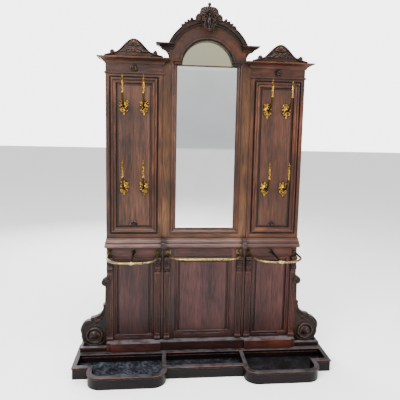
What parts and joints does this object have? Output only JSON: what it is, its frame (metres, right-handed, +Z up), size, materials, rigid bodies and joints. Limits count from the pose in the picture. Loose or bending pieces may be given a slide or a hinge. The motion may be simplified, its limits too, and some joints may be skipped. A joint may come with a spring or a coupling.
{
  "type": "hall tree with hooks",
  "caption": "Tall carved hall tree with an arched mirror between two panelled wings with coat hooks, umbrella rails, and a base of bowed umbrella wells with lift-out drip pans",
  "frame": {"origin": "on the floor, under the middle of the bounding box", "axes": "+X to the right seen from the front, +Y to the back (the wall), +Z up; the front faces -Y"},
  "size_m": [1.71, 0.46, 2.4002],
  "materials": {
    "dark_wood": "oiled dark red-brown walnut or stained oak, fine straight grain",
    "panel_wood": "dark red-brown panel with upright grain, dulled polish",
    "center_wood": "olive-brown polished wood",
    "moulding_wood": "dark red-brown, paler along worn edges",
    "carved_wood": "carved wood, nearly black in the hollows",
    "plinth_wood": "warm red-brown, dusty on top",
    "base_wood": "very dark worn wood, grey dust on the ledges",
    "back_wood": "unfinished planed planks",
    "mirror": "silvered glass",
    "brass": "cast and drawn brass, polished on the high parts and olive-dark in the hollows",
    "zinc": "tarnished blue-grey zinc sheet"
  },
  "bodies": {
    "hall_tree": {"arch_board": "center_wood", "arch_cornice": "moulding_wood", "arch_ears": "moulding_wood", "arch_glass": "mirror", "back_boards": "back_wood", "base_back_rail": "base_wood", "base_deck": "base_wood", "base_end_boards": "base_wood", "base_floor_boards": "base_wood", "base_front_rails": "base_wood", "bow_wall_left": "base_wood", "bow_wall_right": "base_wood", "case_sides": "back_wood", "coat_hook_lower_left_inner": "brass", "coat_hook_lower_left_outer": "brass", "coat_hook_lower_right_inner": "brass", "coat_hook_lower_right_outer": "brass", "coat_hook_upper_left_inner": "brass", "coat_hook_upper_left_outer": "brass", "coat_hook_upper_right_inner": "brass", "coat_hook_upper_right_outer": "brass", "crown_cartouche": "carved_wood", "hook_screws": "brass", "lower_panel_center": "panel_wood", "lower_panel_left": "panel_wood", "lower_panel_mouldings": "moulding_wood", "lower_panel_right": "panel_wood", "lower_rails": "dark_wood", "lower_stiles": "dark_wood", "mirror_glass": "mirror", "mirror_moulding": "moulding_wood", "mirror_stiles": "center_wood", "pilaster_corbels": "carved_wood", "pilasters": "dark_wood", "plinth_center": "plinth_wood", "plinth_left": "plinth_wood", "plinth_right": "plinth_wood", "rail_rosettes": "brass", "scroll_blocks": "plinth_wood", "scroll_bosses": "carved_wood", "scroll_bracket_left": "carved_wood", "scroll_bracket_right": "carved_wood", "umbrella_rail_center": "brass", "umbrella_rail_left": "brass", "umbrella_rail_right": "brass", "waist_mouldings": "moulding_wood", "well_boards": "base_wood", "wing_cornice_left": "moulding_wood", "wing_cornice_right": "moulding_wood", "wing_crest_left": "carved_wood", "wing_crest_right": "carved_wood", "wing_ornaments": "carved_wood", "wing_panel_left": "panel_wood", "wing_panel_mouldings": "moulding_wood", "wing_panel_right": "panel_wood", "wing_rails": "dark_wood", "wing_stiles": "dark_wood"},
    "pan_left": {"drip_pan_left": "zinc"},
    "pan_center": {"drip_pan_center": "zinc"},
    "pan_right": {"drip_pan_right": "zinc"}
  },
  "joints": [
    {"name": "pan_left_lift", "type": "slide", "parent": "hall_tree", "child": "pan_left", "axis": [0, 0, 1], "range_m": [0, 0.12]},
    {"name": "pan_center_lift", "type": "slide", "parent": "hall_tree", "child": "pan_center", "axis": [0, 0, 1], "range_m": [0, 0.12]},
    {"name": "pan_right_lift", "type": "slide", "parent": "hall_tree", "child": "pan_right", "axis": [0, 0, 1], "range_m": [0, 0.12]}
  ]
}
